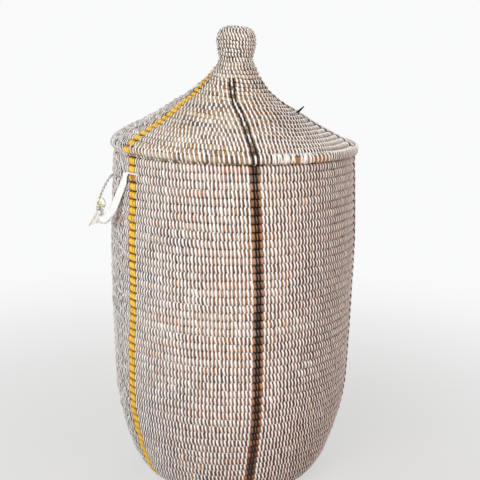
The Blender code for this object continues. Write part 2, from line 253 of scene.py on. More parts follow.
class Paint:
    # shorthand for building one node material, or the world

    def __init__(self, name, kind="materials"):
        self.data = getattr(bpy.data, kind).new(name)
        self.data.use_nodes = True
        self.tree = self.data.node_tree
        self.shader = self.tree.nodes.get("Principled BSDF")

    def node(self, kind, **values):
        made = self.tree.nodes.new(kind)
        for key, value in values.items():
            if key in made.inputs:
                made.inputs[key].default_value = value
            else:
                setattr(made, key, value)
        return made

    def fill(self, socket, value):
        # a socket takes a link, a number or a colour
        if isinstance(value, bpy.types.NodeSocket):
            self.tree.links.new(value, socket)
        elif value is not None:
            socket.default_value = (*value, 1) if isinstance(value, tuple) else value

    def read(self, name, kind="Fac"):
        return self.node("ShaderNodeAttribute", attribute_name=name).outputs[kind]

    def place(self):
        return self.node("ShaderNodeTexCoord").outputs["Object"]

    def parts(self, vector):
        made = self.node("ShaderNodeSeparateXYZ")
        self.fill(made.inputs[0], vector)
        return made.outputs

    def joined(self, *numbers):
        made = self.node("ShaderNodeCombineXYZ")
        for socket, value in zip(made.inputs, numbers):
            self.fill(socket, value)
        return made.outputs[0]

    def maths(self, operation, a, b=None, clamp=False):
        made = self.node("ShaderNodeMath", operation=operation, use_clamp=clamp)
        self.fill(made.inputs[0], a)
        self.fill(made.inputs[1], b)
        return made.outputs[0]

    def times(self, a, b, clamp=False):
        return self.maths("MULTIPLY", a, b, clamp)

    def noise(self, vector, scale, detail, roughness=0.6):
        made = self.node("ShaderNodeTexNoise", Scale=scale, Detail=detail, Roughness=roughness)
        self.fill(made.inputs["Vector"], vector)
        return made.outputs["Fac"]

    def ramp(self, factor, *stops):
        made = self.node("ShaderNodeValToRGB")
        made.color_ramp.interpolation = "EASE"
        elements = made.color_ramp.elements
        while len(elements) < len(stops):
            elements.new(0.5)
        for element, (position, colour) in zip(elements, sorted(stops)):
            element.position = position
            element.color = (*colour, 1)
        self.fill(made.inputs["Fac"], factor)
        return made.outputs["Color"]

    def mix(self, factor, a, b, blend="MIX"):
        made = self.node("ShaderNodeMix", data_type="RGBA", blend_type=blend)
        for index, value in ((0, factor), (6, a), (7, b)):
            self.fill(made.inputs[index], value)
        return made.outputs[2]

    def over(self, colour, mask, share, tint):
        return self.mix(self.times(mask, share), colour, tint)

    def finish(self, colour, roughness, height, strength, distance):
        self.fill(self.shader.inputs["Base Color"], colour)
        self.fill(self.shader.inputs["Roughness"], roughness)
        made = self.node("ShaderNodeBump", Strength=strength, Distance=distance)
        self.fill(made.inputs["Height"], height)
        self.fill(self.shader.inputs["Normal"], made.outputs["Normal"])
        return self.data

    def seenAs(self, lit, backdrop, output, mask=None):
        # what the camera sees, also by way of gloss or glass, is the backdrop and not the lighting
        rays = self.node("ShaderNodeLightPath").outputs
        seen = self.maths("MAXIMUM", rays["Is Camera Ray"], rays["Is Glossy Ray"])
        seen = self.maths("MAXIMUM", seen, rays["Is Transmission Ray"])
        mixer = self.node("ShaderNodeMixShader")
        for i, value in enumerate((self.times(mask, seen) if mask else seen, lit, backdrop)):
            self.fill(mixer.inputs[i], value)
        self.fill(self.tree.nodes[output].inputs["Surface"], mixer.outputs[0])


grassLook = {
    "dark": (0.060, 0.028, 0.022), "straw": (0.30, 0.185, 0.125), "pale": (0.56, 0.42, 0.33),
    "russet": (0.15, 0.045, 0.032), "olive": (0.34, 0.26, 0.10), "ochre": (0.55, 0.23, 0.07),
    "grooveShade": (0.022, 0.013, 0.012),  # painted shade at the foot of the groove between two rows
    "warm": (0.36, 0.15, 0.05), "cool": (0.085, 0.075, 0.085),
    "paintedShade": (0.080, 0.010, 0.006),  # painted shade: darker, redder grass on the right and towards the foot
    "paintedShadeShare": 0.94, "paintedShadeReach": 7.0, "oliveShare": 0.75, "redShare": 0.7, "cellShare": 0.62,
    "lightShare": 0.65, "bleachedShare": 0.5, "fadedShare": 0.5, "deepShare": 0.5, "runShare": 0.7,
    "spotShare": 0.8, "grooveShadeShare": 0.85, "roughness": 0.62, "bump": (0.8, 0.0006),
    "blades": (38.0, 8.0, 8.0),  # scale along and across the bundle
    "bladeStops": (0.26, 0.42, 0.70),
    "paintedShadeLow": (0.30, 5.0, 0.6),  # below this height, how fast, how much
    "paintedShadeRight": 0.95, "rustGain": 1.3, "grooveShadeStops": (0.62, 0.97),
    "runs": (  # (share, tint, scale along the bundle, offset, detail, where the noise starts and is full)
        ("oliveShare", "olive", 4.0, 0.0, 2.0, 0.46, 0.62),
        ("redShare", "russet", 31.0, 5.1, 2.0, 0.47, 0.62),
        ("cellShare", "dark", 110.0, 9.7, 1.0, 0.40, 0.66),
        ("lightShare", "pale", 64.0, 14.3, 1.0, 0.53, 0.66),
        ("bleachedShare", "pale", 5.0, 33.0, 1.0, 0.50, 0.62),
        ("fadedShare", "pale", 1.3, 47.0, 2.0, 0.48, 0.36),
        ("deepShare", "russet", 1.3, 47.0, 2.0, 0.52, 0.64),
        ("runShare", "warm", 8.0, 61.0, 1.0, 0.54, 0.62),
        ("runShare", "cool", 8.0, 73.0, 1.0, 0.54, 0.62),
    ),
    "spots": ("spotShare", "ochre", 160.0, 21.0, 0.0, 0.655, 0.70),
}


def grassMaterial(name, look=grassLook, shade=None):
    paint = Paint(name)
    along, side = paint.read("along"), paint.parts(paint.read("side", "Vector"))
    scaled = [paint.times(*pair) for pair in zip((along, side[0], side[1]), look["blades"])]
    blades = paint.noise(paint.joined(*scaled), 1.0, 4.0)
    tints = [look[tint] for tint in ("dark", "straw", "pale")]
    colour = paint.ramp(blades, *zip(look["bladeStops"], tints))

    def run(colour, share, tint, scale, offset, detail, start, full):
        # another tint where a noise along the bundle passes from start to full
        noise = paint.noise(paint.joined(paint.times(along, scale), offset), 1.0, detail)
        return paint.over(colour, paint.ramp(noise, (start, black), (full, white)), look[share], look[tint])

    for row in look["runs"]:
        colour = run(colour, *row)
    spot = paint.parts(paint.place())
    # painted shade: the grass is darker and redder towards the right and towards the foot
    right = paint.times(spot[0], look["paintedShadeReach"], True)
    height, speed, share = look["paintedShadeLow"]
    low = paint.times(paint.maths("SUBTRACT", height, spot[2]), speed, True)
    paintedShade = paint.maths("ADD", paint.times(right, look["paintedShadeRight"]), paint.times(low, share), True)
    colour = run(paint.over(colour, paintedShade, look["paintedShadeShare"], look["paintedShade"]), *look["spots"])
    stained = paint.times(paint.read("rust"), paint.times(blades, look["rustGain"], True))
    colour = paint.mix(stained, colour, look["ochre"])
    # painted shade: the grass darkens towards the groove where two rows meet
    grooveShade = paint.ramp(paint.maths("ABSOLUTE", side[1]), *zip(look["grooveShadeStops"], (black, white)))
    colour = paint.over(colour, grooveShade, look["grooveShadeShare"], look["grooveShade"])
    if shade:
        colour = paint.mix(1.0, colour, shade, "MULTIPLY")
    return paint.finish(colour, look["roughness"], blades, *look["bump"])


stripLook = {
    "white": {
        "light": (0.95, 0.945, 0.935), "dull": (0.80, 0.77, 0.72), "edge": (0.13, 0.075, 0.06),
        "edgeShare": 0.85, "roughness": 0.42, "paintedShadow": (0.40, 0.23, 0.15),
        "paintedShadowAt": (-0.184, -0.090, 0.4525), "paintedShadowReach": (0.004, 0.0135)
    },
    "black": {
        "light": (0.014, 0.012, 0.012), "dull": (0.006, 0.005, 0.005), "edge": (0.010, 0.008, 0.007),
        "edgeShare": 0.3, "roughness": 0.48, "gloss": 0.18
    },
    "yellow": {
        "light": (0.96, 0.63, 0.045), "dull": (0.62, 0.31, 0.014), "edge": (0.52, 0.18, 0.008),
        "edgeShare": 0.88, "roughness": 0.36
    },
    "lime": {
        "light": (0.90, 0.88, 0.42), "dull": (0.78, 0.73, 0.24), "edge": (0.60, 0.56, 0.18),
        "edgeShare": 0.3, "roughness": 0.4
    },
    "loopWhite": {
        "light": (0.96, 0.96, 0.955), "dull": (0.86, 0.86, 0.85), "edge": (0.30, 0.30, 0.31),
        "edgeShare": 0.8, "roughness": 0.34, "tint": (0.78, 0.80, 0.42)
    }
}


stripWear = {
    "scuffs": (260.0, 3.0, 0.6),  # scale, detail and roughness of the noise
    "clouds": (34.0, 2.0, 0.5),
    "shares": (0.55, 0.45, 0.5),  # of the stitch's own tone, the scuffs and the clouds in dull and light
    "stops": (0.20, 0.52), "paintedShadowBlur": (0.007, 0.0035), "paintedShadowShare": 0.75, "roughSpread": 0.24,
    "bump": (0.35, 0.0004),
}


def stripMaterial(name, look, wear=stripWear):
    paint = Paint(name)
    place = paint.place()
    scuff, cloud = paint.noise(place, *wear["scuffs"]), paint.noise(place, *wear["clouds"])
    own, scuffed, clouded = wear["shares"]
    mixed = paint.maths("ADD", paint.times(paint.read("tone"), own), paint.times(scuff, scuffed))
    mixed = paint.maths("ADD", mixed, paint.times(paint.maths("SUBTRACT", cloud, 0.5), clouded))
    colour = paint.ramp(mixed, *zip(wear["stops"], (look["dull"], look["light"])))
    # painted shade along the strips' edges and at their feet, read from the 'edge' attribute
    colour = paint.over(colour, paint.read("edge"), look["edgeShare"], look["edge"])
    if "tint" in look:
        colour = paint.mix(paint.read("tint"), colour, look["tint"])
    # painted shadow: a reddish-brown patch on the white stitches behind the side loop's bend
    if "paintedShadow" in look:
        near = paint.node("ShaderNodeVectorMath", operation="DISTANCE")
        paint.fill(near.inputs[0], place)
        near.inputs[1].default_value = look["paintedShadowAt"]
        low, high = look["paintedShadowReach"]
        blur, middle = wear["paintedShadowBlur"]
        blurred = paint.maths("ADD", near.outputs["Value"], paint.times(scuff, blur))
        spot = paint.maths("DIVIDE", paint.maths("SUBTRACT", high + middle, blurred), high - low, True)
        colour = paint.over(colour, spot, wear["paintedShadowShare"], look["paintedShadow"])
    paint.shader.inputs["Specular IOR Level"].default_value = look.get("gloss", 0.5)
    spread = wear["roughSpread"]
    rough = paint.maths("ADD", paint.times(scuff, spread), look["roughness"] - spread / 2)
    return paint.finish(colour, rough, scuff, *wear["bump"])


looks = {colour: stripMaterial(f"{colour}Strip", stripLook[colour]) for colour in stripLook}
grass = grassMaterial("grassBundle")
lidLook = {
    **grassLook, "straw": (0.33, 0.23, 0.12), "pale": (0.62, 0.50, 0.33), "russet": (0.17, 0.055, 0.025),
    "olive": (0.38, 0.27, 0.09), "ochre": (0.50, 0.27, 0.09), "paintedShade": (0.060, 0.020, 0.010),
    "paintedShadeReach": 11.0, "bleachedShare": 0.6, "cellShare": 0.72, "fadedShare": 0.35, "deepShare": 0.45
}
lidGrass = grassMaterial("lidGrass", lidLook)
# painted shade: the knob's grass is darkened throughout, for the shade between its stitches
knobGrass = grassMaterial("knobGrass", lidLook, (0.6, 0.6, 0.552))
oliveLook = {
    **grassLook, "straw": (0.40, 0.35, 0.22), "pale": (0.50, 0.46, 0.32), "russet": (0.30, 0.23, 0.13)
}
oliveGrass = grassMaterial("oliveGrass", oliveLook)
print("stage: materials")


class Tree:
    # shorthand for building one Geometry Nodes tree

    def __init__(self, name, inputs):
        self.group = bpy.data.node_groups.new(name, "GeometryNodeTree")
        face = self.group.interface
        for way in ("INPUT", "OUTPUT"):
            face.new_socket("Geometry", in_out=way, socket_type="NodeSocketGeometry")
        for label, kind in inputs.items():
            face.new_socket(label, in_out="INPUT", socket_type=f"NodeSocket{kind}")
        self.given = self.group.nodes.new("NodeGroupInput").outputs
        self.result = self.group.nodes.new("NodeGroupOutput").inputs[0]

    def add(self, kind, links=None, **settings):
        made = self.group.nodes.new(kind)
        for key, value in settings.items():
            setattr(made, key, value)
        for key, value in (links or {}).items():
            socket = made.inputs[key]
            if isinstance(value, bpy.types.NodeSocket):
                self.group.links.new(value, socket)
            else:
                socket.default_value = value
        return made.outputs

    def maths(self, operation, a, b=0.0):
        return self.add("ShaderNodeMath", {0: a, 1: b}, operation=operation)[0]

    def times(self, a, b):
        return self.maths("MULTIPLY", a, b)

    def named(self, name, kind="FLOAT"):
        return self.add("GeometryNodeInputNamedAttribute", {"Name": name}, data_type=kind)[0]

    def close(self, made):
        made = self.add("GeometryNodeRealizeInstances", {"Geometry": made})[0]
        made = self.add("GeometryNodeSetShadeSmooth", {"Geometry": made, "Shade Smooth": True})[0]
        dressed = {"Geometry": made, "Material": self.given["Material"]}
        made = self.add("GeometryNodeSetMaterial", dressed)[0]
        self.group.links.new(made, self.result)
        return self.group


def windingTree():
    sizes = {"Depth Share": "Float", "Overlap": "Float", "Squareness": "Float", "Sides": "Int"}
    tree = Tree("windBundle", {**sizes, "Material": "Material"})
    given = tree.given
    ring = tree.add("GeometryNodeCurvePrimitiveCircle", {"Resolution": given["Sides"], "Radius": 1.0})[0]
    place = tree.add("ShaderNodeSeparateXYZ", {0: tree.add("GeometryNodeInputPosition")[0]})
    square = given["Squareness"]
    powers = [tree.maths("POWER", tree.maths("ABSOLUTE", place[axis]), square) for axis in (0, 1)]
    grow = tree.maths("POWER", tree.maths("ADD", *powers), tree.maths("DIVIDE", -1.0, square))
    through = tree.times(tree.times(place[0], grow), given["Depth Share"])
    across = tree.times(tree.times(place[1], grow), given["Overlap"])
    moved = tree.add("ShaderNodeCombineXYZ", {0: through, 1: across})[0]
    side = {"Geometry": ring, "Name": "side", "Value": tree.add("GeometryNodeInputPosition")[0]}
    ring = tree.add("GeometryNodeStoreNamedAttribute", side, data_type="FLOAT_VECTOR", domain="POINT")[0]
    ring = tree.add("GeometryNodeSetPosition", {"Geometry": ring, "Position": moved})[0]
    path = tree.add("GeometryNodeMeshToCurve", {"Mesh": given["Geometry"]})[0]
    outward = tree.named("outward", "FLOAT_VECTOR")
    path = tree.add("GeometryNodeSetCurveNormal", {"Curve": path, "Normal": outward}, mode="FREE")[0]
    half = tree.times(tree.named("rowSize"), 0.5)
    swept = {"Curve": path, "Profile Curve": ring, "Scale": half, "Fill Caps": True}
    return tree.close(tree.add("GeometryNodeCurveToMesh", swept)[0])


def stitchTree():
    sizes = {"Stitch": "Object", "Lean Spread": "Float", "Width Spread": "Float", "Seed": "Int"}
    tree = Tree("layStitches", {**sizes, "Material": "Material"})
    given = tree.given
    strip = tree.add("GeometryNodeObjectInfo", {"Object": given["Stitch"]})["Geometry"]

    def spread(limit, offset):
        low = tree.times(limit, -1.0)
        seed = tree.maths("ADD", given["Seed"], float(offset))
        made = tree.group.nodes.new("FunctionNodeRandomValue")
        for index, value in ((2, low), (3, limit), (8, seed)):
            tree.group.links.new(value, made.inputs[index])
        return made.outputs[1]

    tilt = tree.add("ShaderNodeCombineXYZ", {2: spread(given["Lean Spread"], 1)})[0]
    extra = tree.add("FunctionNodeEulerToRotation", {0: tilt})[0]
    base = tree.add("FunctionNodeEulerToRotation", {0: tree.named("turn", "FLOAT_VECTOR")})[0]
    turn = tree.add("FunctionNodeRotateRotation", {0: base, 1: extra}, rotation_space="LOCAL")[0]
    wider = tree.maths("ADD", 1.0, spread(given["Width Spread"], 2))
    stretch = tree.add("ShaderNodeCombineXYZ", {0: wider, 1: 1.0, 2: 1.0})[0]
    both = {0: tree.named("size", "FLOAT_VECTOR"), 1: stretch}
    size = tree.add("ShaderNodeVectorMath", both, operation="MULTIPLY")[0]
    laid = {"Points": given["Geometry"], "Instance": strip, "Rotation": turn, "Scale": size}
    return tree.close(tree.add("GeometryNodeInstanceOnPoints", laid)[0])


pieces = {}


def shown(name, data):
    made = bpy.data.objects.new(name, data)
    bpy.context.scene.collection.objects.link(made)
    return made


def grown(name, points, edges, attributes, group, values):
    # runs a tree on points, or the lines between them, and keeps the result as a plain mesh
    source = bpy.data.meshes.new(name)
    source.from_pydata(points, edges, [])
    for label, column in attributes.items():
        column = np.array(column, dtype=np.float32)
        kind, key = ("FLOAT_VECTOR", "vector") if column.ndim == 2 else ("FLOAT", "value")
        source.attributes.new(label, kind, "POINT").data.foreach_set(key, column.ravel())
    holder = shown(name + "Source", source)
    modifier = holder.modifiers.new("rule", "NODES")
    modifier.node_group = group
    for item in group.interface.items_tree:
        if item.in_out == "INPUT" and item.name in values:
            modifier[item.identifier] = values[item.name]
    bpy.context.view_layer.update()
    evaluated = holder.evaluated_get(bpy.context.evaluated_depsgraph_get())
    mesh = bpy.data.meshes.new_from_object(evaluated)
    mesh.name = name
    bpy.data.objects.remove(holder, do_unlink=True)
    pieces[name] = shown(name, mesh)


stitchRails = {
    # (height, depth) shares of the row, from under the row above to where the strip enters the row below
    "outside": (
        (0.50, 0.24), (0.46, 0.54), (0.32, 0.83), (0.12, 0.985), (-0.12, 0.985), (-0.32, 0.85),
        (-0.47, 0.66), (-0.585, 0.42)
    ),
    "steep": (
        (0.50, 0.18), (0.46, 0.48), (0.32, 0.81), (0.12, 0.985), (-0.12, 0.985), (-0.32, 0.82),
        (-0.47, 0.57), (-0.57, 0.28)
    ),
    "bead": (
        (0.49, 0.20), (0.44, 0.52), (0.30, 0.85), (0.0, 1.00), (-0.30, 0.85), (-0.44, 0.52), (-0.49, 0.20)
    ),
    "round": (
        (0.50, 0.40), (0.45, 0.62), (0.31, 0.86), (0.0, 1.00), (-0.31, 0.86), (-0.45, 0.62), (-0.50, 0.40)
    ),
    "inside": ((0.5, -0.5), (0.25, -0.97), (-0.25, -0.97), (-0.5, -0.5)),
}
# (across, height) of a strip's section
crowned = ((-0.5, 0.87), (-0.31, 0.975), (0.0, 1.0), (0.31, 0.975), (0.5, 0.87))
plain = ((-0.5, 0.90), (-0.3, 1.0), (0.3, 1.0), (0.5, 0.90))


def closedMesh(name, made):
    bmesh.ops.recalc_face_normals(made, faces=made.faces[:])
    mesh = bpy.data.meshes.new(name)
    made.to_mesh(mesh)
    made.free()
    return mesh


def stitchShape(name, rail, slant, section, footShade=0.25, footStart=0.436, sideShade=1.0):
    # one strip over the coil: unit width, unit row height, half a unit of coil depth
    made = bmesh.new()
    rails = [
        [made.verts.new((x - slant * y, y * lift, 0.5 * z * lift)) for x, lift in section]
        for y, z in stitchRails[rail]
    ]
    for upper, lower in zip(rails, rails[1:]):
        for i in range(len(section)):
            j = (i + 1) % len(section)
            made.faces.new((upper[i], lower[i], lower[j], upper[j]))
    made.faces.new(rails[0])
    made.faces.new(rails[-1][::-1])
    mesh = closedMesh(name + "Stitch", made)
    shades = []
    for vertex in mesh.vertices:  # painted shade along both edges, less on the left one, which faces the light, and at the foot and head, where the strip dips into the groove
        x, y, _ = vertex.co
        across = 2 * (x + slant * y)
        side = sideShade * (abs(across) ** 3 * (strandForm["leftShade"] if across < 0 else 1.0))
        shades.append(max(side, footShade * smoothStep((abs(y) - footStart) * strandForm["shadeFade"])))
    mesh.attributes.new("edge", "FLOAT", "POINT").data.foreach_set("value", shades)
    return shown(name + "Stitch", mesh)


windBundle, layStitches = windingTree(), stitchTree()
whiteSlant = strandForm["slant"] / strandForm["white"]
stitchShapes = {
    name: stitchShape(name, rail, slant, section, *shades)
    for name, rail, slant, section, *shades in (
        ("white", "outside", whiteSlant, crowned, 0.62),
        ("black", "outside", strandForm["slant"] / strandForm["black"], crowned, 0.25),
        ("yellow", "round", strandForm["yellowSlant"] / strandForm["yellow"], crowned, 0.95, 0.25, 0.35),
        ("rim", "bead", whiteSlant, crowned, 0.6), ("lid", "steep", whiteSlant, crowned, 0.6),
        ("inside", "inside", 0.0, plain)
    )
}


def bundle(name, points, outward, sizes, distances, rust, depthShare, material, closed=False):
    edges = [(i, i + 1) for i in range(len(points) - 1)] + ([(len(points) - 1, 0)] if closed else [])
    shares = {"outward": outward, "rowSize": sizes, "along": distances, "rust": rust}
    values = {label: bundleForm[label.lower()] for label in ("Overlap", "Squareness", "Sides")}
    values |= {"Depth Share": depthShare, "Material": material}
    grown(name, points, edges, shares, windBundle, values)


def woundBundle(name, winding, firstTurn, lastTurn, material, startAlong, rustAt=None):
    # the grass bundle of a winding between two turn counts
    points, outward, sizes, distances, rust = [], [], [], [], []
    q, travelled = firstTurn, startAlong
    while True:
        place, out, _, _, pitch, r = winding.place(q)
        travelled += (place - points[-1]).length if points else 0
        points.append(place)
        outward.append(out)
        sizes.append(max(pitch, 0.0004))
        distances.append(travelled)
        rust.append(rustAt(winding.azimuthAt(q), place.z, r) if rustAt else 0.0)
        if q >= lastTurn:
            break
        q = min(lastTurn, q + 1 / max(14, min(150, round(2 * math.pi * r / bundleForm["step"]))))
    bundle(name, points, outward, sizes, distances, rust, winding.depthShare, material)


class StitchBook:
    # every stitch of one colour and place, kept until its piece is made

    def __init__(self):
        self.points, self.turns, self.sizes, self.tones = [], [], [], []

    def add(self, winding, q, width, tone, lean=0.0, lift=1.0, tall=1.0, drop=0.0):
        place, out, down, along, pitch, _ = winding.place(q)
        turn = Matrix((along, -down, out)).transposed() @ Matrix.Rotation(lean, 3, "Z")
        self.points.append(place - down * 0.001 * drop)
        self.turns.append(turn.to_euler("XYZ"))
        full = pitch * winding.depthShare + 2 * strandForm["thickness"] * lift
        self.sizes.append((width, pitch * tall, full))
        self.tones.append(tone)

    def make(self, name, colour, stitch, seed):
        shares = {"turn": self.turns, "size": self.sizes, "tone": self.tones}
        values = {"Stitch": stitch, "Seed": seed, "Material": looks[colour]}
        values |= {"Lean Spread": strandForm["leanSpread"], "Width Spread": strandForm["widthSpread"]}
        grown(name, self.points, [], shares, layStitches, values)


# Stripe lines: azimuths by height on the wall, and by distance from the neck on the lid
wallStripes = {
    "yellowLeft": ("yellow", ((0.551, -52.6), (0.515, -51.4), (0.30, -51.3), (0.17, -54.0), (0.0, -55.5))),
    "blackFront": ("black", ((0.551, 8.6), (0.50, 9.6), (0.35, 11.5), (0.15, 12.0), (0.0, 11.0))),
    "blackRight": ("black", ((0.551, 77.0), (0.35, 78.5), (0.0, 80.0))),
    "blackRear": ("black", ((0.551, 156.0), (0.35, 158.0), (0.0, 158.0))),
    "yellowRear": ("yellow", ((0.551, 231.0), (0.35, 232.0), (0.0, 231.0))),
}
lidStripes = {
    "yellowLeft": ("yellow", (
        (0.03, -83), (0.06, -70.5), (0.083, -62.3), (0.12, -56.6), (0.17, -53.6), (0.215, -53.4),
        (0.226, -54.5), (0.24, -57.2),
    )),
    "blackFront": ("black", (
        (0.03, -9), (0.06, -4.5), (0.08, -1.5), (0.10, 2), (0.12, 5), (0.15, 7), (0.24, 9),
    )),
    "blackRight": ("black", ((0.03, 68), (0.08, 78), (0.12, 81.5), (0.2, 80.5), (0.24, 77.5))),
    "blackRear": ("black", ((0.03, 140), (0.10, 152), (0.24, 157))),
    "yellowRear": ("yellow", ((0.03, 205), (0.10, 225), (0.24, 231))),
}
stripeForm = {
    "blackPair": 0.0046,  # between the two black stitches
    "blackPairLid": 0.0078,
    "pairSpread": (0.68, 1.06),  # the lid's pair runs unevenly
    "between": 0.7,  # share of the lid's rows with a white stitch between the pair
    "yellowTrio": 0.0053,
    "clearBlack": 0.0050,  # bare grass beside a black stitch
    "clearBlackLid": 0.0016, "clearYellow": 0.0012,
    "wander": 0.32,  # degrees that the yellow line strays
    "lidRowsAbove": 4,
    "wideRim": 1.2,  # wider spacing of the lid's last two rows left of the front stripe
    "rust": (0.0065, 0.003, 0.0025),  # orange grass beside a black stitch: reach, fade, clear middle
    "rustUneven": (0.62, 0.38, 190, 67),  # least, more, and how often by height
    "bareReach": 0.009, "bareRust": 1.3,
    "lidRust": (0.02, 25, 47),  # height above the seat, from and to azimuth
}
rimSpells = (  # (from, to, spacing, mess) along the lid's last row
    (17.6, 26.6, 0.0024, 1.0), (28.8, 34.6, 0.0026, 0.9), (34.8, 46.5, 0.0088, 0.0),
)
bareSpots = ((2, -52.2, -49.0),)  # (row, from, to) where a few stitches of the wall are missing
roughRadian = 57.3  # degrees


def wrapped(azimuth):
    return (azimuth + 180) % 360 - 180


def rightShare(azimuth):
    # how far an azimuth lies in the right-hand side, where the stitching is finer
    a = wrapped(azimuth)
    start, fade, end, endFade = laceForm["rightSide"]
    return smoothStep((a - start) / fade) * smoothStep((end - a) / endFade)


def readTable(table, x):
    return float(np.interp(x, *zip(*sorted(table))))


def wallRust(azimuth, z, r):
    # orange grass beside the black stitches and in the bare spots
    found = 0.0
    reach, fade, clear = stripeForm["rust"]
    least, more, quick, slow = stripeForm["rustUneven"]
    for colour, table in wallStripes.values():
        if colour == "black":
            away = abs(wrapped(azimuth - readTable(table, z))) * math.pi / 180 * r
            uneven = least + more * math.sin(quick * z) * math.sin(slow * z)
            found = max(found, uneven * (1 - smoothStep((away - reach) / fade)) * smoothStep(away / clear))
    for row, low, high in bareSpots:
        level = seatHeight - (row + 0.5) * basketForm["rowPitch"]
        if abs(z - level) < stripeForm["bareReach"] and low < wrapped(azimuth) < high:
            found = stripeForm["bareRust"]
    return found


def lidRust(azimuth, z, r):
    # ochre grass where the lid's last row is stitched widely
    tall, low, high = stripeForm["lidRust"]
    return 1.0 if seatHeight < z < seatHeight + tall and low < wrapped(azimuth) < high else 0.0


def evenly(low, high, count):
    return [low + (high - low) * (j + 0.5) / count for j in range(count)]


def stitchRow(winding, row, azimuths, radius, spacing):
    # (azimuth, colour) of each stitch in one row, sector by sector between the stripes
    degrees = 180 / math.pi / radius
    if not azimuths:
        return [(a, "white") for a in evenly(-180, 180, max(6, round(2 * math.pi * radius / spacing)))]
    onLid, stitches, order = winding is lidWinding, [], sorted(azimuths)
    pair = stripeForm["blackPairLid" if onLid else "blackPair"]
    reach = {
        "black": pair / 2 + stripeForm["clearBlackLid" if onLid else "clearBlack"],
        "yellow": stripeForm["yellowTrio"] * 1.5 + stripeForm["clearYellow"]
    }
    for i, (a, colour) in enumerate(order):
        b, nextColour = order[(i + 1) % len(order)]
        if i == len(order) - 1:
            b += 360
        low, high = a + reach[colour] * degrees, b - reach[nextColour] * degrees
        wide = onLid and row >= winding.rows - 2 and (colour, nextColour) == ("yellow", "black")
        apart = degrees * spacing * (stripeForm["wideRim"] if wide else 1)
        # a sector over the back is parted at 180, where this row meets the next, so no gap is left there
        for start, end in ((low, 180), (180, high)) if low < 180 < high else ((low, high),):
            stitches += [(at, "white") for at in evenly(start, end, max(1, round((end - start) / apart)))]
        if colour == "black":
            half = pair / 2 * degrees * (chance.uniform(*stripeForm["pairSpread"]) if onLid else 1.0)
            stitches += [(a - half, "black"), (a + half, "black")]
            if onLid and chance.random() < stripeForm["between"]:
                stitches.append((a, "white"))
        else:
            step = stripeForm["yellowTrio"] * degrees
            stitches += [(a + side * step, "yellow") for side in (-1, 0, 1)]
    return [(wrapped(a), colour) for a, colour in stitches]


laceForm = {
    "spacing": 0.0061,
    "lidSpacing": (  # by radius
        (0.027, 0.036, 0.05, 0.115, 0.14, 0.165, 0.2),
        (0.0053, 0.0058, 0.0072, 0.0077, 0.0070, 0.0061, 0.0061),
    ),
    "jitter": 0.035,
    "ends": (-0.32, 0.08),  # turns from the coil's ends where the stitches stop
    "tone": (0.62, 0.2), "rowTone": 0.10, "widths": (0.88, 1.12), "rightFiner": 0.34, "footFiner": 0.10,
    "topFiner": 0.88,
    "broad": (0.035, 1.35),  # share of broad stitches, and their width
    "lift": {"white": 0.85, "black": 1.0, "yellow": 1.7}, "liftSpread": (-0.2, 0.4), "drop": 0.7,
    "tall": (1.02, 1.13),
    "shorter": (0.08, 0.09),  # on the lid, and on the wall's right
    "neckTaller": 0.14,
    "rimBare": (-50, 14),  # azimuths where the band under the lid shows
    "rimReach": (0.0006, 0.0038, 0.0036),  # least and most over the bare band, and elsewhere
    "rimLift": 0.4,
    "rightSide": (12, 40, 178, 60),  # finer stitches: from, fade, to, fade
    "looseSide": (-55, 6, -125, 15),  # loose lacing on the left, told likewise
    "looseLean": (0.12, 0.30), "looseLift": (-0.5, 1.1), "looseFiner": 0.3, "looseTaller": 0.2,
    "insideWider": 1.15, "footFade": (0.22, 0.15),
    "blackLid": (-0.04, 0.10, 0.85),  # lean, its spread and the width
    "yellowLean": (0.05, 0.10), "yellowWidths": (0.97, 1.10),
    "yellowOuter": (0.93, 0.7),  # outer ones: how tall, how much lower
}
chance = random.Random(7)
books = {}


def book(*key):
    return books.setdefault(key, StitchBook())


def layRim(label, row, radius):
    # the untidy wraps on the lid's last row
    for low, high, gap, mess in rimSpells:
        for azimuth in evenly(low, high, max(1, round((high - low) / roughRadian * radius / gap))):
            book(label, "rim", 0).add(
                lidWinding, lidWinding.turnsAt(row, azimuth + mess * chance.gauss(0, 0.5)),
                strandForm["white"] * chance.uniform(0.9, 1.2), chance.uniform(0.0, 1.0),
                lean=mess * chance.gauss(0.05, 0.2), lift=0.9 + mess * chance.uniform(0.0, 1.4),
                tall=1.15 + mess * chance.uniform(0.05, 0.3), drop=0.9 + mess * chance.uniform(0.2, 1.8)
            )


